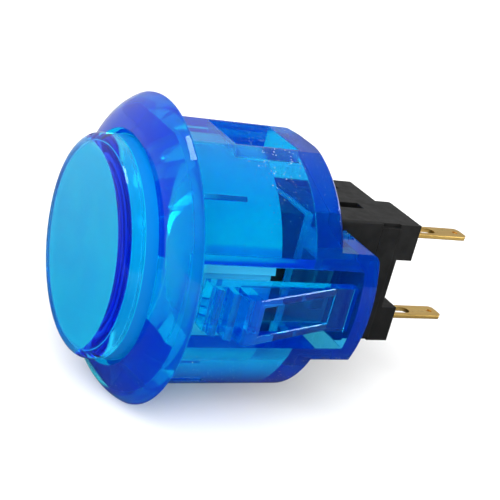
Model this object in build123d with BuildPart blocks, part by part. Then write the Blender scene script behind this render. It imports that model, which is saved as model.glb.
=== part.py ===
# Snap-in arcade push button: one housing, a two-piece plunger and a switch held between the housing's ears.
# Millimetres. Y is the button's axis: y = 0 is the panel's face, the finger pushes towards +Y, Z is up.
import os
from math import cos, radians, sin

from build123d import *

os.makedirs("parts", exist_ok=True)

# Clearances
slide_gap = 0.1
stem_gap = 0.05
stop_gap = 0.15
push_gap = 0.05
seat_gap = 0.03
overlap = 0.4

# Travel of the plunger, and of the moving contact
travel = 3.0
contact_gap = 1.5

# Barrel and bezel, sized from the panel hole
panel_hole = 30.0
hole_gap = 0.2
barrel_wall = 2.5
barrel_r = panel_hole / 2 - hole_gap
bore_r = barrel_r - barrel_wall
barrel_end = 17.7
barrel_edge = 0.5
flange_lip = 2.25
flange_r = barrel_r + flange_lip
flange_rim = 0.15
bezel_height = 3.05
mouth_flare = 0.55
mouth_r = bore_r + mouth_flare
dome_rise = 0.65

# Plunger and its cap
plunger_r = bore_r - slide_gap
plunger_proud = 3.45
cap_front = -bezel_height - plunger_proud
cap_wall = 1.45
cap_round = 1.6
cap_skirt = 1.35
cap_depth = 2.3
cap_seam = cap_front + cap_depth
notch_angles = (114, 294)
notch_width = 1.0
notch_depth = 0.85
notch_inset = 0.5
crown_wall = 1.4
skirt_wall = 1.5
skirt_end = 10.9
boss_r = 2.6
boss_foot = 0.8

# Flats on the barrel, with windows for the plunger's hooks
flat_depth = 0.61
flat_z = barrel_r - flat_depth
window_front = 6.9
window_half = 3.8
window_spare = 2.95
hook_front = window_front + stop_gap
hook_length = 1.6
hook_side_gap = 1.3
hook_sink = 0.79
hook_half = window_half - hook_side_gap
hook_top = flat_z - hook_sink
window_end = hook_front + hook_length + travel + window_spare

# Grip ribs that bite the edge of the panel hole
rib_angles = (45, 135, 225, 315)
rib_rise = 0.25
rib_width = 0.5
rib_length = 6.0

# Rear wall and ears that hold the switch, clear of the pressed plunger
press_gap = 1.2
ear_front = skirt_end + travel + press_gap
ear_reach = 4.4
ear_end = barrel_end + ear_reach
ear_half = 6.4
ear_wall = 1.5
ear_round = 0.9
slot_front = 1.2
ear_back = 1.8
ear_side = 1.75
slot_end = ear_end - ear_back
slot_half = ear_half - ear_side
barb_rise = 0.45
barb_flat = 0.45
barb_length = 1.65
barb_inset = 1.7
barb_end = ear_end - barb_inset
barb_front = barb_end - barb_length
barb_half = 2.9

# Snap tongue: a leaf with two rails, a wedge top and stepped grips at its free end
tongue_side_gap = 2.1
tongue_front_gap = 1.25
tongue_half = slot_half - tongue_side_gap
tongue_front = slot_front + tongue_front_gap
leaf_thick = 1.2
leaf_lift = 0.45
leaf_inner = bore_r + leaf_lift
leaf_outer = leaf_inner + leaf_thick
pocket_sink = 0.15
leaf_floor = leaf_outer - pocket_sink
grip_rise = 0.8
grip_step = 1.0
grip_web = 1.0
grip_first = barrel_r + grip_rise
grip_base = grip_first - grip_web
grip_pitch = 1.35
grip_width = 0.7
grip_slant = 0.3
wedge_front = tongue_front + 2 * grip_pitch + grip_slant
wedge_flat = 1.2
wedge_peak_y = wedge_front + wedge_flat
root_length = 2.75
wedge_foot_y = slot_end - root_length
rail_width = 0.95
rail_edge = 0.12
pocket_wall = 0.65
pocket_front = wedge_peak_y + pocket_wall
flex_side_gap = 0.2
flex_front_gap = 1.45
skirt_slot_half = tongue_half + flex_side_gap
skirt_slot_front = tongue_front - flex_front_gap

# Actuator stem: it stands a little proud of the switch when fully pressed
stem_r = 2.0
stem_front = 9.0
stem_proud = 0.4
collar_r = 3.2
collar_thick = 1.25

# Switch case and base
case_x = 6.85
case_z = 7.6
case_front = stem_front + travel + stem_proud
case_length = 13.85
case_end = case_front + case_length
case_front_wall = 1.4
case_round = 0.4
case_wall_x = 1.45
case_wall_z = 1.7
cavity_x = case_x - case_wall_x
cavity_z = case_z - case_wall_z
base_front = case_end + seat_gap
base_thick = 3.32
base_inset = 0.15
base_z = case_z - base_inset
base_end = base_front + base_thick
base_round = 0.3
tower_far_x = -0.7
tower_inset = 0.2
tower_near_x = case_x - tower_inset
tower_inner = 3.05
tower_height = 2.1
tower_end = base_end + tower_height
corner_notch = 0.5
notch_sink = 0.45
notch_length = 2.55
notch_end = base_front + notch_length
barb_pocket_depth = barb_rise + slide_gap
spring_pocket_r = 2.4
spring_floor_wall = 0.8
spring_pocket_floor = base_end - spring_floor_wall

# Latch arms of the base, each in a recess of the case with a tooth in its window
arm_x = -1.65
arm_half = 2.25
arm_gap = 2.05
arm_length = 5.6
arm_front = base_front - arm_length
arm_recess_front = arm_front - stop_gap
arm_sink = 0.9
arm_floor = case_z - arm_sink
latch_half = 1.2
latch_bar = 0.9
latch_front = arm_front + latch_bar
latch_length = 1.5
tooth_rise = 0.6

# Terminals and contacts
blade_x = 3.1
blade_width = 2.8
blade_thick = 0.5
blade_z = 5.33
blade_reach = 9.0
blade_end = tower_end + blade_reach
blade_corner = 0.55
blade_bevel = 0.12
eye_reach = 3.4
eye_y = tower_end + eye_reach
eye_length = 2.7
eye_width = 1.4
dimple_inset = 1.1
dimple_y = blade_end - dimple_inset
dimple_r = 0.35
dimple_depth = 0.2
pad_reach = 2.08
pad_front = base_front - pad_reach
pad_x = -1.5
pad_inner = 2.6
tip_z = 3.6
tip_r = 0.9
tip_thick = 0.5
shank_r = 0.4

# Contact bridge, the actuator's yoke round it, and the springs
bridge_half_x = 1.3
bridge_half_z = 4.5
bridge_thick = 0.5
yoke_x = 2.6
yoke_z = 2.0
yoke_gap = 0.28
yoke_end = base_front - travel - yoke_gap
yoke_bar = 1.0
window_side_gap = 0.2
pilot_r = 1.2
pilot_length = 1.3
return_r = 1.8
return_wire = 0.2
return_turns = 4.5
contact_r = 1.0
contact_wire = 0.13
contact_turns = 4.5
wire_sides = 6


def across(y):
    """The plane across the axis at y; a negative extrusion from it goes towards +Y."""
    return Plane(origin=(0, y, 0), x_dir=(1, 0, 0), z_dir=(0, -1, 0))


def block(x, y, z, mode=Mode.ADD):
    """A box given by its low and high limits along each axis."""
    centre = ((x[0] + x[1]) / 2, (y[0] + y[1]) / 2, (z[0] + z[1]) / 2)
    with Locations(centre):
        Box(x[1] - x[0], y[1] - y[0], z[1] - z[0], mode=mode)


def disc(radius, y, centre=(0, 0), mode=Mode.ADD):
    """A cylinder along the axis between two y values, centred at (x, z)."""
    with BuildSketch(across(y[0])) as outline:
        with Locations(centre):
            Circle(radius)
    extrude(outline.sketch, amount=y[0] - y[1], mode=mode)


def slice_across(points, half, mode=Mode.ADD):
    """A profile in the XY plane, extruded by half to both sides in Z."""
    with BuildSketch(Plane.XY) as outline:
        with BuildLine():
            Polyline(*points, close=True)
        make_face()
    extrude(outline.sketch, amount=half, both=True, mode=mode)


def turned(angle, radius, y):
    """A location at an angle round the axis, with its X axis pointing outwards."""
    place = (radius * cos(radians(angle)), y, radius * sin(radians(angle)))
    return Location(place, (0, -angle, 0))


# Ears: both halves of one rounded block, trimmed to the barrel's outline
with BuildPart() as ears:
    with BuildSketch(Plane.YZ) as ear_outline:
        with Locations(((ear_front + ear_end) / 2, 0)):
            Rectangle(ear_end - ear_front, 2 * ear_half)
        fillet(ear_outline.vertices().group_by(Axis.Y)[-1], ear_round)
    extrude(amount=barrel_r, both=True)
    ear_face = case_x + seat_gap
    block((-ear_face, ear_face), (ear_front, ear_end), (-ear_half, ear_half), mode=Mode.SUBTRACT)
    with BuildSketch(across(ear_front)):
        Circle(barrel_r)
    extrude(amount=ear_front - ear_end, mode=Mode.INTERSECT)

# Snap tongue of the +X side
with BuildPart() as tongue:
    peak = grip_first + 2 * grip_step
    leaf = [
        (leaf_inner, tongue_front),
        (grip_base, tongue_front),
        (grip_base, wedge_front),
        (peak - grip_slant, wedge_front),
        (peak, wedge_front + grip_slant),
        (peak, wedge_peak_y),
        (leaf_outer, wedge_foot_y),
        (leaf_outer, slot_end + overlap),
        (leaf_inner, slot_end + overlap),
    ]
    slice_across(leaf, tongue_half)
    # the wedge is hollowed to two rails, with their long edges broken
    rail_inner = tongue_half - rail_width
    hollow = (leaf_floor, peak + overlap)
    block(hollow, (pocket_front, wedge_foot_y), (-rail_inner, rail_inner), mode=Mode.SUBTRACT)
    wedge_length = wedge_foot_y - wedge_peak_y
    long_edges = tongue.edges().filter_by(lambda edge: edge.length > wedge_length / 2)
    chamfer(long_edges.filter_by(Axis.Y, reverse=True).filter_by(Axis.Z, reverse=True), rail_edge)
    # the two lower grips stand on the leaf as slanted fins
    for index in range(2):
        crest = grip_first + index * grip_step
        start = tongue_front + index * grip_pitch + grip_slant
        fin = [
            (grip_base - overlap, start),
            (crest - grip_slant, start),
            (crest, start + grip_width),
            (grip_base - overlap, start + grip_width),
        ]
        slice_across(fin, tongue_half)

# Housing
with BuildPart() as housing:
    # bezel and barrel, turned about the axis
    with BuildSketch(Plane.XY) as wall:
        with BuildLine():
            Line((bore_r, mouth_r - bore_r - bezel_height), (mouth_r, -bezel_height))
            SagittaArc((mouth_r, -bezel_height), (flange_r, -flange_rim), -dome_rise)
            Polyline(
                (flange_r, -flange_rim),
                (flange_r, 0),
                (barrel_r, 0),
                (barrel_r, barrel_end),
                (bore_r, barrel_end),
                (bore_r, mouth_r - bore_r - bezel_height),
            )
        make_face()
        chamfer(wall.vertices().group_by(Axis.Y)[-1].sort_by(Axis.X)[-1], barrel_edge)
    revolve(axis=Axis.Y)
    # flats at the top and bottom of the barrel, with a window in each
    for side in (-1, 1):
        flat_limits = sorted((side * flat_z, side * flange_r))
        block((-barrel_r, barrel_r), (0, ear_end), flat_limits, mode=Mode.SUBTRACT)
    block((-window_half, window_half), (window_front, window_end), (-barrel_r, barrel_r), mode=Mode.SUBTRACT)
    # a rear wall with an opening for the switch, and two ears behind it
    disc(bore_r + overlap, (ear_front, barrel_end))
    add(ears.part)
    opening_z = case_z + seat_gap
    block((-ear_face, ear_face), (ear_front, ear_end), (-opening_z, opening_z), mode=Mode.SUBTRACT)
    # a slot in each side for the snap tongue, running on as a pocket in the ear
    pocket_inner = ear_face + ear_wall
    for side in (-1, 1):
        slot_limits = sorted((side * pocket_inner, side * flange_r))
        block(slot_limits, (slot_front, slot_end), (-slot_half, slot_half), mode=Mode.SUBTRACT)
    # snap tongues, joined to the housing at the rear end of their pockets
    add(tongue.part)
    add(mirror(tongue.part, Plane.YZ, mode=Mode.PRIVATE))
    # a barb on each ear's inner face that snaps into the switch
    for side in (-1, 1):
        barb = [
            (ear_face + overlap, barb_front),
            (ear_face - barb_rise, barb_front),
            (ear_face - barb_rise, barb_front + barb_flat),
            (ear_face, barb_end),
            (ear_face + overlap, barb_end),
        ]
        slice_across([(side * x, y) for x, y in barb], barb_half)
    # grip ribs along the barrel
    rib_height = rib_rise + overlap
    for angle in rib_angles:
        with Locations(turned(angle, barrel_r + rib_rise - rib_height / 2, rib_length / 2)):
            Box(rib_height, rib_length, rib_width)
housing.part.label = "housing"
export_step(housing.part, "parts/housing.step")

# Plunger: a cup with a crown that carries the cap, a centre boss and two hooks
crown_r = plunger_r - cap_skirt - seat_gap
crown_front = cap_front + cap_wall + seat_gap
skirt_front = cap_seam + seat_gap
skirt_inner = plunger_r - skirt_wall
with BuildPart() as plunger:
    with BuildSketch(Plane.XY) as cup:
        with BuildLine():
            Polyline(
                (0, crown_front),
                (crown_r, crown_front),
                (crown_r, skirt_front),
                (plunger_r, skirt_front),
                (plunger_r, skirt_end),
                (skirt_inner, skirt_end),
                (skirt_inner, crown_front + crown_wall),
                (boss_r, crown_front + crown_wall),
                (boss_r, stem_front - push_gap),
                (0, stem_front - push_gap),
                close=True,
            )
        make_face()
        foot = cup.vertices().sort_by_distance((boss_r, crown_front + crown_wall))[0]
        chamfer(foot, boss_foot)
    revolve(axis=Axis.Y)
    # slots that leave the snap tongues room to flex
    for side in (-1, 1):
        slot_limits = sorted((side * skirt_inner / 2, side * barrel_r))
        slot_depth = (skirt_slot_front, skirt_end)
        block(slot_limits, slot_depth, (-skirt_slot_half, skirt_slot_half), mode=Mode.SUBTRACT)
    # hooks that stop against the front ends of the windows
    for side in (-1, 1):
        hook_root = side * (skirt_inner + overlap)
        with BuildSketch(Plane.YZ):
            with BuildLine():
                Polyline(
                    (hook_front, hook_root),
                    (hook_front, side * hook_top),
                    (hook_front + hook_length / 3, side * hook_top),
                    (hook_front + hook_length, side * plunger_r),
                    (hook_front + hook_length, hook_root),
                    close=True,
                )
            make_face()
        extrude(amount=hook_half, both=True)
plunger.part.label = "plunger"
export_step(plunger.part, "parts/plunger.step")

# Plunger cap, with two notches to lift it off by
notch_front = cap_front + notch_inset
with BuildPart() as plunger_cap:
    with BuildSketch(Plane.XY) as shell:
        with BuildLine():
            Polyline(
                (0, cap_front),
                (plunger_r, cap_front),
                (plunger_r, cap_seam),
                (plunger_r - cap_skirt, cap_seam),
                (plunger_r - cap_skirt, cap_front + cap_wall),
                (0, cap_front + cap_wall),
                close=True,
            )
        make_face()
        fillet(shell.vertices().group_by(Axis.Y)[0].sort_by(Axis.X)[-1], cap_round)
    revolve(axis=Axis.Y)
    for angle in notch_angles:
        with Locations(turned(angle, plunger_r, (notch_front + cap_seam) / 2)):
            Box(2 * notch_depth, cap_seam - notch_front, notch_width, mode=Mode.SUBTRACT)
plunger_cap.part.label = "plunger_cap"
export_step(plunger_cap.part, "parts/plunger_cap.step")

# Switch case: a box open at the rear
collar_front = case_front + case_front_wall + stop_gap
with BuildPart() as switch_case:
    block((-case_x, case_x), (case_front, case_end), (-case_z, case_z))
    fillet(switch_case.edges().filter_by(Axis.Y), case_round)
    cavity_depth = (case_front + case_front_wall, case_end)
    block((-cavity_x, cavity_x), cavity_depth, (-cavity_z, cavity_z), mode=Mode.SUBTRACT)
    disc(stem_r + stem_gap, (case_front, case_front + case_front_wall), mode=Mode.SUBTRACT)
    for side in (-1, 1):
        # a recess in the top and bottom for the base's latch arm, with a tooth that holds it
        recess_x = (arm_x - arm_half - arm_gap, arm_x + arm_half + arm_gap)
        recess_z = sorted((side * arm_floor, side * flange_r))
        block(recess_x, (arm_recess_front, case_end), recess_z, mode=Mode.SUBTRACT)
        tooth_front = latch_front + seat_gap
        tooth_end = latch_front + latch_length - seat_gap
        with BuildSketch(Plane.YZ.offset(arm_x)) as tooth:
            with BuildLine():
                Polyline(
                    (tooth_front, side * (arm_floor - overlap)),
                    (tooth_front, side * (arm_floor + tooth_rise)),
                    (tooth_end, side * arm_floor),
                    (tooth_end, side * (arm_floor - overlap)),
                    close=True,
                )
            make_face()
        extrude(amount=latch_half - seat_gap, both=True)
        # a pocket in each side for the ear's barb
        pocket = sorted((side * (case_x - barb_pocket_depth), side * flange_r))
        pocket_y = (barb_front - stop_gap, barb_end + stop_gap)
        pocket_half = barb_half + seat_gap
        block(pocket, pocket_y, (-pocket_half, pocket_half), mode=Mode.SUBTRACT)
switch_case.part.label = "switch_case"
export_step(switch_case.part, "parts/switch_case.step")

# Switch base: rear plate, two terminal towers and two latch arms
with BuildPart() as switch_base:
    block((-case_x, case_x), (base_front, base_end), (-base_z, base_z))
    for side in (-1, 1):
        tower = sorted((side * tower_inner, side * base_z))
        block((tower_far_x, case_x), (base_end - overlap, tower_end), tower)
    fillet(switch_base.edges().filter_by(Axis.Z).group_by(Axis.Y)[-1], base_round)
    # the towers stand back a little from the plate's near side
    near_side = (tower_near_x, case_x)
    block(near_side, (notch_end, tower_end), (-base_z, base_z), mode=Mode.SUBTRACT)
    for side in (-1, 1):
        # a latch arm with a window for the case's tooth
        arm_z = sorted((side * (arm_floor + seat_gap), side * base_z))
        block((arm_x - arm_half, arm_x + arm_half), (arm_front, base_front + overlap), arm_z)
        latch_x = (arm_x - latch_half, arm_x + latch_half)
        latch_y = (latch_front, latch_front + latch_length)
        block(latch_x, latch_y, arm_z, mode=Mode.SUBTRACT)
        # a small notch at the near corner beside each tower
        notch_z = sorted((side * (base_z - notch_sink), side * flange_r))
        block((case_x - corner_notch, case_x), (base_front, notch_end), notch_z, mode=Mode.SUBTRACT)
        # the slot that holds the terminal's blade
        blade_low = blade_z - blade_thick / 2 - seat_gap
        blade_high = blade_z + blade_thick / 2 + seat_gap
        blade_half = blade_width / 2 + seat_gap
        slit = sorted((side * blade_low, side * blade_high))
        slit_x = (blade_x - blade_half, blade_x + blade_half)
        block(slit_x, (base_front, tower_end), slit, mode=Mode.SUBTRACT)
    disc(spring_pocket_r, (base_front, spring_pocket_floor), mode=Mode.SUBTRACT)
switch_base.part.label = "switch_base"
export_step(switch_base.part, "parts/switch_base.step")

# Terminals: a blade through the base, bent inside to a pad for the fixed contact
for side, name in ((1, "terminal_upper"), (-1, "terminal_lower")):
    blade_faces = sorted((side * (blade_z - blade_thick / 2), side * (blade_z + blade_thick / 2)))
    blade_sides = (blade_x - blade_width / 2, blade_x + blade_width / 2)
    with BuildPart() as terminal:
        block(blade_sides, (pad_front, blade_end), blade_faces)
        chamfer(terminal.edges().filter_by(Axis.Z).group_by(Axis.Y)[-1], blade_corner)
        chamfer(terminal.edges().filter_by(Axis.Y), blade_bevel)
        pad = sorted((side * pad_inner, side * (blade_z + blade_thick / 2)))
        block((pad_x, blade_sides[1]), (pad_front, pad_front + blade_thick), pad)
        with BuildSketch(Plane.XY.offset(blade_faces[0])):
            with Locations((blade_x, eye_y)):
                SlotOverall(eye_length, eye_width, rotation=90)
        extrude(amount=blade_thick, mode=Mode.SUBTRACT)
        with BuildSketch(Plane.XY.offset(blade_faces[1])):
            with Locations((blade_x, dimple_y)):
                Circle(dimple_r)
        extrude(amount=-dimple_depth, mode=Mode.SUBTRACT)
        hole_y = (pad_front, pad_front + blade_thick)
        disc(shank_r + seat_gap, hole_y, (0, side * tip_z), mode=Mode.SUBTRACT)
    terminal.part.label = name
    export_step(terminal.part, f"parts/{name}.step")

# Fixed contact rivets on the pads
tip_front = pad_front - seat_gap - tip_thick
with BuildPart() as fixed_tips:
    for side in (-1, 1):
        disc(tip_r, (tip_front, tip_front + tip_thick), (0, side * tip_z))
        disc(shank_r, (tip_front, pad_front + blade_thick), (0, side * tip_z))
fixed_tips.part.label = "fixed_tips"
export_step(fixed_tips.part, "parts/fixed_tips.step")

# Contact bridge and its rivets, one contact gap in front of the fixed ones
bridge_end = tip_front - contact_gap - tip_thick - seat_gap
bridge_start = bridge_end - bridge_thick
with BuildPart() as contact_bridge:
    block((-bridge_half_x, bridge_half_x), (bridge_start, bridge_end), (-bridge_half_z, bridge_half_z))
    for side in (-1, 1):
        disc(shank_r + seat_gap, (bridge_start, bridge_end), (0, side * tip_z), mode=Mode.SUBTRACT)
contact_bridge.part.label = "contact_bridge"
export_step(contact_bridge.part, "parts/contact_bridge.step")

with BuildPart() as bridge_tips:
    for side in (-1, 1):
        disc(tip_r, (bridge_end + seat_gap, bridge_end + seat_gap + tip_thick), (0, side * tip_z))
        disc(shank_r, (bridge_start, bridge_end + seat_gap + tip_thick), (0, side * tip_z))
bridge_tips.part.label = "bridge_tips"
export_step(bridge_tips.part, "parts/bridge_tips.step")

# Actuator: stem, collar and a yoke with a window that the bridge crosses
yoke_window_front = collar_front + collar_thick + yoke_bar
yoke_window_end = bridge_end + stop_gap
with BuildPart() as actuator:
    disc(stem_r, (stem_front, collar_front + collar_thick))
    chamfer(actuator.edges().sort_by(Axis.Y)[0], case_round)
    disc(collar_r, (collar_front, collar_front + collar_thick))
    block((-yoke_x, yoke_x), (collar_front + collar_thick / 2, yoke_end), (-yoke_z, yoke_z))
    window_x = bridge_half_x + window_side_gap
    opening = (yoke_window_front, yoke_window_end)
    block((-window_x, window_x), opening, (-yoke_z, yoke_z), mode=Mode.SUBTRACT)
    disc(pilot_r, (yoke_end, yoke_end + pilot_length))
actuator.part.label = "actuator"
export_step(actuator.part, "parts/actuator.step")

# Coil springs, drawn with a six-sided wire to stay light
coils = (
    ("return_spring", yoke_end, spring_pocket_floor, return_r, return_wire, return_turns),
    ("contact_spring", yoke_window_front, bridge_start, contact_r, contact_wire, contact_turns),
)
for name, low, high, radius, wire, turns in coils:
    height = high - low - 2 * wire - 2 * seat_gap
    with BuildPart() as spring:
        with BuildLine() as path:
            Helix(height / turns, height, radius, center=(0, low + wire + seat_gap, 0), direction=(0, 1, 0))
        with BuildSketch(Plane(origin=path.line @ 0, z_dir=path.line % 0)):
            RegularPolygon(wire, wire_sides)
        sweep(is_frenet=True)
    spring.part.label = name
    export_step(spring.part, f"parts/{name}.step")
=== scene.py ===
from math import radians, sqrt

import bmesh
import bpy
from mathutils import Matrix, Vector


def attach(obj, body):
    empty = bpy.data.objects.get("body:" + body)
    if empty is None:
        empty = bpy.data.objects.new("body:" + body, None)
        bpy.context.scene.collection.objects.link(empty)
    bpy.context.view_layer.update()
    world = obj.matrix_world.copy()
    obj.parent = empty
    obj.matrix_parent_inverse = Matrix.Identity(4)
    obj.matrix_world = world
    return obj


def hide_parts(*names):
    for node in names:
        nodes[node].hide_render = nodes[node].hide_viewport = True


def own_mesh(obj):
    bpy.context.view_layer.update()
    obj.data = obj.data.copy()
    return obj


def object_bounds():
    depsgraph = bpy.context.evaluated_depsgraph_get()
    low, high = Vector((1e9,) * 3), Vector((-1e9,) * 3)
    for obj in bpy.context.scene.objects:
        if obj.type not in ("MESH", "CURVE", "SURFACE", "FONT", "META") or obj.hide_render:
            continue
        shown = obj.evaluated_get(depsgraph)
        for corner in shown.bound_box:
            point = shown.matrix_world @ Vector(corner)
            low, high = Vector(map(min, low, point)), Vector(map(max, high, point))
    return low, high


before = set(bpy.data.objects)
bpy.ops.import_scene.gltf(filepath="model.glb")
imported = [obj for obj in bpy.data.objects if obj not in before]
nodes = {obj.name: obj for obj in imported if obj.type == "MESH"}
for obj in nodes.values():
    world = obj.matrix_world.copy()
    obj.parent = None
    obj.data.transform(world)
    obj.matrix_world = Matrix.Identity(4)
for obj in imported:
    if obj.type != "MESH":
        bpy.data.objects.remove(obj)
loaded_box = [list(corner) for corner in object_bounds()]

MM = 0.001

# Bands of the surface, from where a tint starts to where it is full: the barrel's along Y
BARREL_ZONE = (0.5 * MM, 3 * MM)
# The underside's by Z, the others' by the height from the middle plane
LOWER_ZONE = (-7 * MM, -11 * MM)
FLAT_ZONE = (8.5 * MM, 12 * MM)
TONGUE_ZONE = (5.6 * MM, 5.2 * MM)
DUST_ZONE = (5.6 * MM, 6.5 * MM)
RIB_HEIGHT = (7 * MM, 8 * MM)

# Rings: inner radius, first and last Y
RIB_ZONE = (14.95 * MM, 0.6 * MM, 6.2 * MM)
SHOULDER_ZONE = (10.75 * MM, -6 * MM, -4.2 * MM)
RING_ZONE = (11.8 * MM, -4.1 * MM, -2.4 * MM)
SOFT_EDGE = 0.1 * MM

# Boxes: half width in X, low and high from the middle plane, first and last Y
# Painted shade is laid in the seat box, and both boxes are made matt
SEAT_BOX = (7.05 * MM, 0.0, 7.8 * MM, 14.9 * MM, 25 * MM)
WINDOW_BOX = (3.9 * MM, 11 * MM, 14.5 * MM, 6.8 * MM, 14.8 * MM)

# Clear plastic: dye and cloud through its depth, tints at its surface
PLASTIC_IOR = 1.49
DYE_PER_METRE = 1100
CLOUD_COLOUR = (0.0, 0.14, 1.0)
CLEAR_SPECULAR_TINT = (0.35, 0.6, 1.0)
CLEAR_TINT_LOW = (0.7, 0.95, 1.0)
CLEAR_TINT_HIGH = (0.8, 1.0, 1.0)
FLAT_TINT = (0.6, 0.84, 1.0)
# Painted shade: the tongues are tinted deeper blue for the darker surroundings seen through them
TONGUE_PAINTED_SHADE = (0.45, 0.75, 1.0)
# Painted shade: the seat's walls, where the switch sits, are darkened in place of their bright inner
# reflection
SEAT_PAINTED_SHADE = (0.3, 0.45, 0.8)
# Painted shade: a dark line along the rib, for the shade its refracting sides show
RIB_PAINTED_SHADE = (0.05, 0.12, 0.4)
# Painted shade: the barrel's underside is tinted deeper blue, for the dim light from below
UNDERSIDE_PAINTED_SHADE = (0.35, 0.62, 1.0)
MATT_ROUGH = 0.4

# Dust: sizes are shares of a cell, and a patch holds more and larger specks
DUST_PER_METRE = 4000
DUST_LARGEST = 0.27
DUST_FREE_CELLS = 0.6
DUST_PATCH_SIZE = (0.3, 1.2)
DUST_PATCH_EDGE = (0.42, 0.62)
DUST_TINT = (0.75, 0.85, 0.95)
DUST_CLEARNESS = 0.3

# Milky and black plastic
MILKY_CLEARNESS = 0.03
MILKY_SPECULAR = 0.15
# Painted shade: the skirt behind the tongues is darker, as it sits in the slot's shade
MILKY_PAINTED_SHADE_BEHIND_TONGUE = (0.07, 0.64, 0.92)
# Painted shade: two dark rings round the crown's edge, for the gap between the cap and the bezel's mouth
MILKY_SHOULDER_PAINTED_SHADE = (0.0, 0.55, 0.85)
MILKY_RING_PAINTED_SHADE = (0.0, 0.2, 0.6)
BLACK_SPECULAR = 0.28

# Noise of each surface: features per metre, detail and, where it has one, the stretch
CLEAR_FLOW = (260, 4)
CLEAR_HAZE = (700, 6, (1, 0.35, 1))
CLEAR_GRAIN = (900, 2)
DUST_PATCHES = (110, 2)
MILKY_CLOUDS = (180, 4)
MILKY_SATIN = (800, 5)
MILKY_GRAIN = (3000, 3)
BLACK_TONE = (500, 5)
BLACK_SHEEN = (900, 5)
BLACK_GRAIN = (6000, 3)
METAL_TONE = (400, 4)
METAL_POLISH = (1500, 4)
METAL_GRAIN = (2500, 3)

# Relief: height of the grain and radius of the softened edges
CLEAR_RELIEF = (0.001 * MM, 0.1 * MM)
MILKY_RELIEF = (0.003 * MM, 0.08 * MM)
BLACK_RELIEF = (0.01 * MM, 0.15 * MM)
METAL_RELIEF = (0.003 * MM, 0.05 * MM)
EDGE_SAMPLES = 6

# Springs: the Y of the fixed end, the length at rest and the travels
RETURN_END = 28.8 * MM
RETURN_LENGTH = 5.8 * MM
CONTACT_END = 16.2 * MM
CONTACT_LENGTH = 4.94 * MM
TRAVEL = 3.0 * MM
BRIDGE_TRAVEL = 1.47 * MM

# Thin walls in the plunger's skirt
WEB_INNER = 10.7 * MM
WEB_OUTER = 11.3 * MM
WEB_HALF_HEIGHT = 2.75 * MM
WEB_FRONT = 1.0 * MM
WEB_REAR = 10.9 * MM
WEB_STEPS = 8

# Sky and floor: levels on the object, in reflections, through clear plastic and to the eye
SKY_LIT = 0.7
SKY_MIRRORED = ((-0.6, -0.45, 0.66), 0.05, 1.0)
SKY_TURN = (0.0, 1.0)
SKY_THROUGH = 1.0
SKY_SEEN = 1.0
FLOOR_SIZE = 3.0
FLOOR_LIT = 0.55
# Painted shadow: in reflections the floor is dark near the object and brightens further out
FLOOR_MIRRORED_PAINTED_SHADOW = (0.07, 0.45, 30 * MM, 150 * MM)
FLOOR_THROUGH = 0.75
FLOOR_SEEN = 0.81

# Softboxes: place, size and power, in metres and watts
KEY = ((-0.06, -0.13, 0.38), (0.14, 0.09), 0.55)
RIM = ((0.05, 0.38, 0.2), (0.07, 0.22), 0.65)
FRONT = ((0.24, -0.26, 0.2), (0.18, 0.29), 1.4)
MIDDLE = (0, 0.012, 0)

# The lamp that lights the floor alone
FLOOR_LAMP_FROM = (0.67, -0.55, 0.47)
FLOOR_LAMP_STRENGTH = 7.0
FLOOR_LAMP_ANGLE = radians(70)

# Camera, fitted to the photo: lens and sensor in mm, clipping in metres, place in mm
LENS = 86.58
SENSOR_WIDTH = 36.0
CLIP_START = 0.005
CLIP_END = 20.0
CAMERA_PLACE = (111.469, -51.896, 48.437)
CAMERA_RIGHT = (0.41631, 0.87704, 0.23976)
CAMERA_UP = (-0.41922, -0.04884, 0.90657)
CAMERA_BACK = (0.80681, -0.47793, 0.34734)

# Light paths, enough for several walls of clear plastic
CLEAR_BOUNCES = 40
GLOSSY_BOUNCES = 24
VOLUME_BOUNCES = 12


# Nodes of a material

def start_material(name):
    """A material with an empty node tree, its output and a Principled shader."""
    material = bpy.data.materials.new(name)
    material.use_nodes = True
    tree = material.node_tree
    tree.nodes.clear()
    output = tree.nodes.new("ShaderNodeOutputMaterial")
    shader = tree.nodes.new("ShaderNodeBsdfPrincipled")
    tree.links.new(shader.outputs["BSDF"], output.inputs["Surface"])
    return material, tree, shader, output


def noise(tree, scale, detail, stretch=(1, 1, 1)):
    """Noise in the object's own coordinates; scale is in features per metre."""
    place = tree.nodes.new("ShaderNodeTexCoord")
    mapping = tree.nodes.new("ShaderNodeMapping")
    mapping.inputs["Scale"].default_value = stretch
    texture = tree.nodes.new("ShaderNodeTexNoise")
    texture.inputs["Scale"].default_value = scale
    texture.inputs["Detail"].default_value = detail
    tree.links.new(place.outputs["Object"], mapping.inputs["Vector"])
    tree.links.new(mapping.outputs["Vector"], texture.inputs["Vector"])
    return texture.outputs["Fac"]


def spread(tree, value, low, high, start=0.3, end=0.7):
    """Maps a value between start and end onto low to high; the usual limits suit noise."""
    node = tree.nodes.new("ShaderNodeMapRange")
    node.inputs["From Min"].default_value = start
    node.inputs["From Max"].default_value = end
    node.inputs["To Min"].default_value = low
    node.inputs["To Max"].default_value = high
    tree.links.new(value, node.inputs["Value"])
    return node.outputs["Result"]


def two_colours(tree, value, first, second, start=0.35, end=0.65):
    """Blends two colours by a noise value."""
    ramp = tree.nodes.new("ShaderNodeValToRGB")
    ramp.color_ramp.elements[0].position = start
    ramp.color_ramp.elements[0].color = (*first, 1)
    ramp.color_ramp.elements[1].position = end
    ramp.color_ramp.elements[1].color = (*second, 1)
    tree.links.new(value, ramp.inputs["Fac"])
    return ramp.outputs["Color"]


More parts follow.
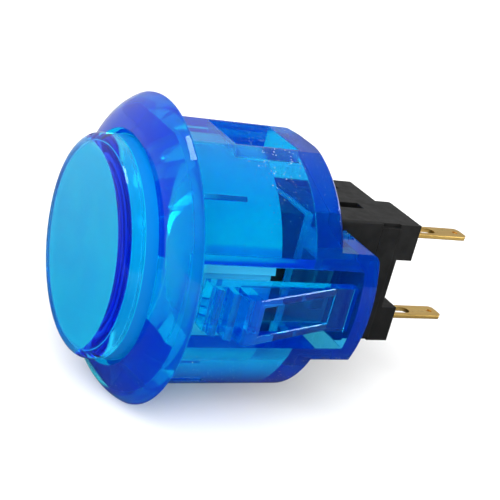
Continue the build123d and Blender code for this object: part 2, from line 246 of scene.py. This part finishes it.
def blend(tree, share, colour, other):
    """Goes from a linked colour to a fixed one by a share of 0 to 1."""
    mix = tree.nodes.new("ShaderNodeMix")
    mix.data_type = "RGBA"
    tree.links.new(share, mix.inputs["Factor"])
    tree.links.new(colour, mix.inputs["A"])
    mix.inputs["B"].default_value = (*other, 1)
    return mix.outputs["Result"]


def maths(tree, operation, first, second=0.0):
    """One step of arithmetic on node outputs; the second value may be a plain number."""
    node = tree.nodes.new("ShaderNodeMath")
    node.operation = operation
    tree.links.new(first, node.inputs[0])
    if isinstance(second, float):
        node.inputs[1].default_value = second
    else:
        tree.links.new(second, node.inputs[1])
    return node.outputs["Value"]


def vector_length(tree, vector):
    """The length of a linked vector."""
    node = tree.nodes.new("ShaderNodeVectorMath")
    node.operation = "LENGTH"
    tree.links.new(vector, node.inputs[0])
    return node.outputs["Value"]


def add_bump(tree, shader, value, height, edge):
    """Fine relief on the surface, over edges softened as moulding or stamping leaves them; in metres."""
    soft = tree.nodes.new("ShaderNodeBevel")
    soft.samples = EDGE_SAMPLES
    soft.inputs["Radius"].default_value = edge
    bump = tree.nodes.new("ShaderNodeBump")
    bump.inputs["Distance"].default_value = height
    tree.links.new(soft.outputs["Normal"], bump.inputs["Normal"])
    tree.links.new(value, bump.inputs["Height"])
    tree.links.new(bump.outputs["Normal"], shader.inputs["Normal"])


def own_axes(tree):
    """The X, Y and Z of a point in the object's own coordinates."""
    place = tree.nodes.new("ShaderNodeTexCoord")
    axes = tree.nodes.new("ShaderNodeSeparateXYZ")
    tree.links.new(place.outputs["Object"], axes.inputs["Vector"])
    return axes.outputs["X"], axes.outputs["Y"], axes.outputs["Z"]


# Masks: 1 inside a zone, 0 outside

def behind_bezel(tree):
    """The barrel and what lies behind it."""
    return spread(tree, own_axes(tree)[1], 0, 1, *BARREL_ZONE)


def in_band(tree, first, last):
    """Behind the bezel, rising from 0 to 1 as the height from the middle plane goes from first to last."""
    level = maths(tree, "ABSOLUTE", own_axes(tree)[2])
    reached = spread(tree, level, 0, 1, first, last)
    return maths(tree, "MULTIPLY", reached, behind_bezel(tree))


def on_underside(tree):
    """The lower side of the barrel."""
    lower = spread(tree, own_axes(tree)[2], 0, 1, *LOWER_ZONE)
    return maths(tree, "MULTIPLY", lower, behind_bezel(tree))


def on_ring(tree, inner, first, last):
    """Outside a radius and between two places along the axis."""
    across, along, height = own_axes(tree)
    flat = tree.nodes.new("ShaderNodeCombineXYZ")
    tree.links.new(across, flat.inputs["X"])
    tree.links.new(height, flat.inputs["Z"])
    radius = vector_length(tree, flat.outputs["Vector"])
    share = spread(tree, radius, 0, 1, inner - SOFT_EDGE, inner)
    share = maths(tree, "MULTIPLY", share, spread(tree, along, 0, 1, first - SOFT_EDGE, first))
    return maths(tree, "MULTIPLY", share, spread(tree, along, 1, 0, last, last + SOFT_EDGE))


def in_box(tree, half_width, low, high, first, last):
    """Within half_width of the axis in X, low to high from the middle plane, first to last in Y."""
    across, along, height = own_axes(tree)
    share = maths(tree, "LESS_THAN", maths(tree, "ABSOLUTE", across), half_width)
    level = maths(tree, "ABSOLUTE", height)
    for value, start, end in ((level, low, high), (along, first, last)):
        share = maths(tree, "MULTIPLY", share, maths(tree, "GREATER_THAN", value, start))
        share = maths(tree, "MULTIPLY", share, maths(tree, "LESS_THAN", value, end))
    return share


def on_dust(tree):
    """Small specks in patches, above and below the tongues' slots, that fade towards the bezel."""
    place = tree.nodes.new("ShaderNodeTexCoord")
    cells = tree.nodes.new("ShaderNodeTexVoronoi")
    cells.inputs["Scale"].default_value = DUST_PER_METRE
    tree.links.new(place.outputs["Object"], cells.inputs["Vector"])
    chosen = tree.nodes.new("ShaderNodeSeparateColor")
    tree.links.new(cells.outputs["Color"], chosen.inputs["Color"])
    size = spread(tree, chosen.outputs["Red"], 0, DUST_LARGEST, DUST_FREE_CELLS, 1)
    patches = spread(tree, noise(tree, *DUST_PATCHES), *DUST_PATCH_SIZE, *DUST_PATCH_EDGE)
    size = maths(tree, "MULTIPLY", size, patches)
    speck = maths(tree, "LESS_THAN", cells.outputs["Distance"], size)
    speck = maths(tree, "MULTIPLY", speck, in_band(tree, *DUST_ZONE))
    return maths(tree, "MULTIPLY", speck, behind_bezel(tree))


# Materials

def fill_with_dye(tree, output, keeps, cloud):
    """Dye that absorbs light through the depth of a solid, with some blue cloud in it."""
    dye = tree.nodes.new("ShaderNodeVolumeAbsorption")
    dye.inputs["Color"].default_value = (*keeps, 1)
    dye.inputs["Density"].default_value = DYE_PER_METRE
    glow = tree.nodes.new("ShaderNodeVolumeScatter")
    glow.inputs["Color"].default_value = (*CLOUD_COLOUR, 1)
    glow.inputs["Density"].default_value = cloud
    both = tree.nodes.new("ShaderNodeAddShader")
    tree.links.new(dye.outputs["Volume"], both.inputs[0])
    tree.links.new(glow.outputs["Volume"], both.inputs[1])
    tree.links.new(both.outputs["Shader"], output.inputs["Volume"])


def clear_plastic(name, keeps, cloud, rough):
    """Moulded clear plastic: tinted through its depth, with faint flow marks, dust specks and handling
    haze, deeper blue over the flats, and painted shade on the tongues, the switch's seat, the rib and the
    underside.
    """
    material, tree, shader, output = start_material(name)
    shader.inputs["IOR"].default_value = PLASTIC_IOR
    shader.inputs["Specular Tint"].default_value = (*CLEAR_SPECULAR_TINT, 1)
    seat = in_box(tree, *SEAT_BOX)
    window = in_box(tree, *WINDOW_BOX)
    rib = maths(tree, "MULTIPLY", on_ring(tree, *RIB_ZONE), in_band(tree, *RIB_HEIGHT))
    speck = on_dust(tree)
    tint = two_colours(tree, noise(tree, *CLEAR_FLOW), CLEAR_TINT_LOW, CLEAR_TINT_HIGH)
    tint = blend(tree, in_band(tree, *FLAT_ZONE), tint, FLAT_TINT)
    # Painted shade on the tongues, for the darker surroundings seen through them
    tint = blend(tree, in_band(tree, *TONGUE_ZONE), tint, TONGUE_PAINTED_SHADE)
    # Painted shade on the seat's walls round the switch
    tint = blend(tree, seat, tint, SEAT_PAINTED_SHADE)
    # Painted shade: a dark line along the rib
    tint = blend(tree, rib, tint, RIB_PAINTED_SHADE)
    # Painted shade on the underside, for the dim light from below
    tint = blend(tree, on_underside(tree), tint, UNDERSIDE_PAINTED_SHADE)
    tint = blend(tree, speck, tint, DUST_TINT)
    tree.links.new(tint, shader.inputs["Base Color"])
    clearness = spread(tree, speck, 1.0, DUST_CLEARNESS, 0, 1)
    tree.links.new(clearness, shader.inputs["Transmission Weight"])
    haze = spread(tree, noise(tree, *CLEAR_HAZE), *rough)
    matt = maths(tree, "MAXIMUM", seat, window)
    haze = maths(tree, "ADD", haze, maths(tree, "MULTIPLY", matt, MATT_ROUGH))
    tree.links.new(haze, shader.inputs["Roughness"])
    add_bump(tree, shader, noise(tree, *CLEAR_GRAIN), *CLEAR_RELIEF)
    fill_with_dye(tree, output, keeps, cloud)
    return material


def milky_plastic(name, low, high, rough):
    """Clouded plastic, with painted shade behind the tongues and in two rings round the edge of its crown.
    """
    material, tree, shader, _ = start_material(name)
    shader.inputs["Transmission Weight"].default_value = MILKY_CLEARNESS
    shader.inputs["IOR"].default_value = PLASTIC_IOR
    shader.inputs["Specular IOR Level"].default_value = MILKY_SPECULAR
    colour = two_colours(tree, noise(tree, *MILKY_CLOUDS), low, high)
    # Painted shade on the skirt behind the tongues
    colour = blend(tree, in_band(tree, *TONGUE_ZONE), colour, MILKY_PAINTED_SHADE_BEHIND_TONGUE)
    # Painted shade in two rings round the crown's edge
    colour = blend(tree, on_ring(tree, *SHOULDER_ZONE), colour, MILKY_SHOULDER_PAINTED_SHADE)
    colour = blend(tree, on_ring(tree, *RING_ZONE), colour, MILKY_RING_PAINTED_SHADE)
    tree.links.new(colour, shader.inputs["Base Color"])
    satin = spread(tree, noise(tree, *MILKY_SATIN), *rough)
    tree.links.new(satin, shader.inputs["Roughness"])
    add_bump(tree, shader, noise(tree, *MILKY_GRAIN), *MILKY_RELIEF)
    return material


def black_plastic(name, low, high, rough):
    """Black moulded plastic with a fine spark-eroded grain, from one grey level to another."""
    material, tree, shader, _ = start_material(name)
    colour = two_colours(tree, noise(tree, *BLACK_TONE), (low, low, low), (high, high, high))
    tree.links.new(colour, shader.inputs["Base Color"])
    shader.inputs["Specular IOR Level"].default_value = BLACK_SPECULAR
    sheen = spread(tree, noise(tree, *BLACK_SHEEN), *rough)
    tree.links.new(sheen, shader.inputs["Roughness"])
    add_bump(tree, shader, noise(tree, *BLACK_GRAIN), *BLACK_RELIEF)
    return material


def plated_metal(name, low, high, rough, grain=(1, 1, 1)):
    """Plated or drawn metal with faint rolling marks along its grain."""
    material, tree, shader, _ = start_material(name)
    shader.inputs["Metallic"].default_value = 1.0
    colour = two_colours(tree, noise(tree, *METAL_TONE, grain), low, high)
    tree.links.new(colour, shader.inputs["Base Color"])
    polish = spread(tree, noise(tree, *METAL_POLISH, grain), *rough)
    tree.links.new(polish, shader.inputs["Roughness"])
    add_bump(tree, shader, noise(tree, *METAL_GRAIN, grain), *METAL_RELIEF)
    return material


blue = clear_plastic("housing_blue", keeps=(0.0, 0.88, 0.996), cloud=120, rough=(0.01, 0.05))
blue_cap = clear_plastic("cap_blue", keeps=(0.0, 0.865, 0.985), cloud=5, rough=(0.01, 0.04))
blue_plunger = milky_plastic(
    "plunger_blue",
    low=(0.0, 0.84, 0.93),
    high=(0.01, 0.9, 0.93),
    rough=(0.4, 0.55),
)
black = black_plastic("switch_black", low=0.006, high=0.012, rough=(0.45, 0.6))
black_stem = black_plastic("stem_black", low=0.02, high=0.04, rough=(0.4, 0.5))
gold = plated_metal(
    "terminal_gold",
    low=(0.86, 0.55, 0.15),
    high=(1.0, 0.68, 0.21),
    rough=(0.25, 0.4),
    grain=(1, 0.15, 1),
)
brass = plated_metal(
    "contact_brass",
    low=(0.7, 0.46, 0.2),
    high=(0.8, 0.56, 0.28),
    rough=(0.25, 0.4),
    grain=(1, 1, 0.2),
)
silver = plated_metal(
    "contact_silver",
    low=(0.75, 0.75, 0.74),
    high=(0.86, 0.86, 0.85),
    rough=(0.2, 0.35),
)
steel = plated_metal(
    "spring_steel",
    low=(0.5, 0.5, 0.52),
    high=(0.62, 0.62, 0.63),
    rough=(0.25, 0.4),
)

finishes = {
    "housing": blue,
    "plunger": blue_plunger,
    "plunger_cap": blue_cap,
    "switch_case": black,
    "switch_base": black,
    "actuator": black_stem,
    "return_spring": steel,
    "contact_spring": steel,
    "contact_bridge": brass,
    "bridge_tips": silver,
    "fixed_tips": silver,
    "terminal_upper": gold,
    "terminal_lower": gold,
}
for node, material in finishes.items():
    nodes[node].material_slots[0].material = material

# Each spring is copied into a coil that rides on its body, and the original part is hidden
springs = {
    "return_spring": ("button_body", RETURN_END, RETURN_LENGTH, TRAVEL),
    "contact_spring": ("actuator_body", CONTACT_END, CONTACT_LENGTH, TRAVEL - BRIDGE_TRAVEL),
}
for node, (body, fixed_end, length, loss) in springs.items():
    coil = bpy.data.objects.new(node + "_coil", nodes[node].data.copy())
    bpy.context.collection.objects.link(coil)
    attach(coil, body)
    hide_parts(node)
    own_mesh(coil)


# The skirt is thinned behind each tongue, so that the tongue can flex, and not cut through

def skirt_web(name, side):
    """A thin curved wall in the plunger's skirt, behind the tongue on one side of X."""
    form = bmesh.new()
    rows = []
    for step in range(WEB_STEPS + 1):
        z = WEB_HALF_HEIGHT * (2 * step / WEB_STEPS - 1)
        outer = side * sqrt(WEB_OUTER ** 2 - z ** 2)
        inner = side * sqrt(WEB_INNER ** 2 - z ** 2)
        corners = (
            (outer, WEB_FRONT, z),
            (outer, WEB_REAR, z),
            (inner, WEB_REAR, z),
            (inner, WEB_FRONT, z),
        )
        rows.append([form.verts.new(corner) for corner in corners])
    for row, other in zip(rows, rows[1:]):
        for corner in range(len(row)):
            form.faces.new((row[corner], row[corner - 1], other[corner - 1], other[corner]))
    form.faces.new(rows[0])
    form.faces.new(rows[-1])
    bmesh.ops.recalc_face_normals(form, faces=form.faces)
    mesh = bpy.data.meshes.new(name)
    form.to_mesh(mesh)
    form.free()
    mesh.materials.append(finishes["plunger"])
    web = bpy.data.objects.new(name, mesh)
    bpy.context.collection.objects.link(web)
    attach(web, "plunger_body")


skirt_web("skirt_web_near", 1)
skirt_web("skirt_web_far", -1)


# Sky and floor

def by_ray(tree, lit, mirrored, through, seen):
    """A level for each kind of ray; each is a number or the output of a node."""
    path = tree.nodes.new("ShaderNodeLightPath")
    levels = {"Is Glossy Ray": mirrored, "Is Transmission Ray": through, "Is Camera Ray": seen}
    value = lit
    for ray, level in levels.items():
        choice = tree.nodes.new("ShaderNodeMix")
        tree.links.new(path.outputs[ray], choice.inputs["Factor"])
        for side, source in (("A", value), ("B", level)):
            if isinstance(source, float):
                choice.inputs[side].default_value = source
            else:
                tree.links.new(source, choice.inputs[side])
        value = choice.outputs["Result"]
    return value


def brighter_side(tree, direction, far, near):
    """A level over the sky that goes from far to near towards one direction."""
    place = tree.nodes.new("ShaderNodeTexCoord")
    share = tree.nodes.new("ShaderNodeVectorMath")
    share.operation = "DOT_PRODUCT"
    share.inputs[1].default_value = Vector(direction).normalized()
    tree.links.new(place.outputs["Generated"], share.inputs[0])
    return spread(tree, share.outputs["Value"], far, near, *SKY_TURN)


world = bpy.data.worlds.new("studio")
bpy.context.scene.world = world
world.use_nodes = True
tree = world.node_tree
tree.nodes.clear()
sky = tree.nodes.new("ShaderNodeBackground")
sky.inputs["Color"].default_value = (1, 1, 1, 1)
mirrored_sky = brighter_side(tree, *SKY_MIRRORED)
sky_level = by_ray(tree, SKY_LIT, mirrored_sky, SKY_THROUGH, SKY_SEEN)
tree.links.new(sky_level, sky.inputs["Strength"])
world_output = tree.nodes.new("ShaderNodeOutputWorld")
tree.links.new(sky.outputs["Background"], world_output.inputs["Surface"])

floor_level = loaded_box[0][2]
bpy.ops.mesh.primitive_plane_add(size=FLOOR_SIZE, location=(0, 0, floor_level))
floor = bpy.context.object
floor.name = "floor"
paper = bpy.data.materials.new("floor_paper")
paper.use_nodes = True
tree = paper.node_tree
tree.nodes.clear()
paper_output = tree.nodes.new("ShaderNodeOutputMaterial")
matte = tree.nodes.new("ShaderNodeBsdfDiffuse")
place = tree.nodes.new("ShaderNodeNewGeometry")
# Painted shadow in the floor's reflections, dark near the object
mirrored_floor_painted_shadow = spread(tree, vector_length(tree, place.outputs["Position"]), *FLOOR_MIRRORED_PAINTED_SHADOW)
paper_level = by_ray(tree, FLOOR_LIT, mirrored_floor_painted_shadow, FLOOR_THROUGH, FLOOR_SEEN)
tree.links.new(paper_level, matte.inputs["Color"])
tree.links.new(matte.outputs["BSDF"], paper_output.inputs["Surface"])
floor.data.materials.append(paper)


# Lamps

def floor_link(name, state):
    """A collection for light linking that holds the floor alone."""
    link = bpy.data.collections.new(name)
    link.objects.link(floor)
    link.collection_objects[0].light_linking.link_state = state
    return link


without_floor = floor_link("lamps_of_the_object", "EXCLUDE")
only_floor = floor_link("lamp_of_the_floor", "INCLUDE")


def softbox(name, place, size, power):
    """A rectangular area light that faces the object's middle and leaves the floor's shade as it is."""
    data = bpy.data.lights.new(name, "AREA")
    data.shape = "RECTANGLE"
    data.size, data.size_y = size
    data.energy = power
    light = bpy.data.objects.new(name, data)
    light.light_linking.receiver_collection = without_floor
    bpy.context.collection.objects.link(light)
    aim = Vector(MIDDLE) - Vector(place)
    light.matrix_world = Matrix.Translation(place) @ aim.to_track_quat("-Z", "Y").to_matrix().to_4x4()
    return light


softbox("key", *KEY)
softbox("rim", *RIM)
front = softbox("front", *FRONT)
front.visible_glossy = False

floor_lamp = bpy.data.lights.new("floor_lamp", "SUN")
floor_lamp.energy = FLOOR_LAMP_STRENGTH
floor_lamp.angle = FLOOR_LAMP_ANGLE
floor_light = bpy.data.objects.new("floor_lamp", floor_lamp)
floor_light.light_linking.receiver_collection = only_floor
floor_light.rotation_euler = Vector(FLOOR_LAMP_FROM).to_track_quat("Z", "Y").to_euler()
bpy.context.collection.objects.link(floor_light)

# Camera and render limits
camera_data = bpy.data.cameras.new("camera")
camera_data.lens = LENS
camera_data.sensor_width = SENSOR_WIDTH
camera_data.clip_start = CLIP_START
camera_data.clip_end = CLIP_END
camera = bpy.data.objects.new("camera", camera_data)
bpy.context.collection.objects.link(camera)
turn = Matrix((CAMERA_RIGHT, CAMERA_UP, CAMERA_BACK)).transposed().to_4x4()
camera.matrix_world = Matrix.Translation(Vector(CAMERA_PLACE) * MM) @ turn
bpy.context.scene.camera = camera
bpy.context.scene.view_settings.view_transform = "Standard"
cycles = bpy.context.scene.cycles
cycles.max_bounces = CLEAR_BOUNCES
cycles.transmission_bounces = CLEAR_BOUNCES
cycles.glossy_bounces = GLOSSY_BOUNCES
cycles.volume_bounces = VOLUME_BOUNCES
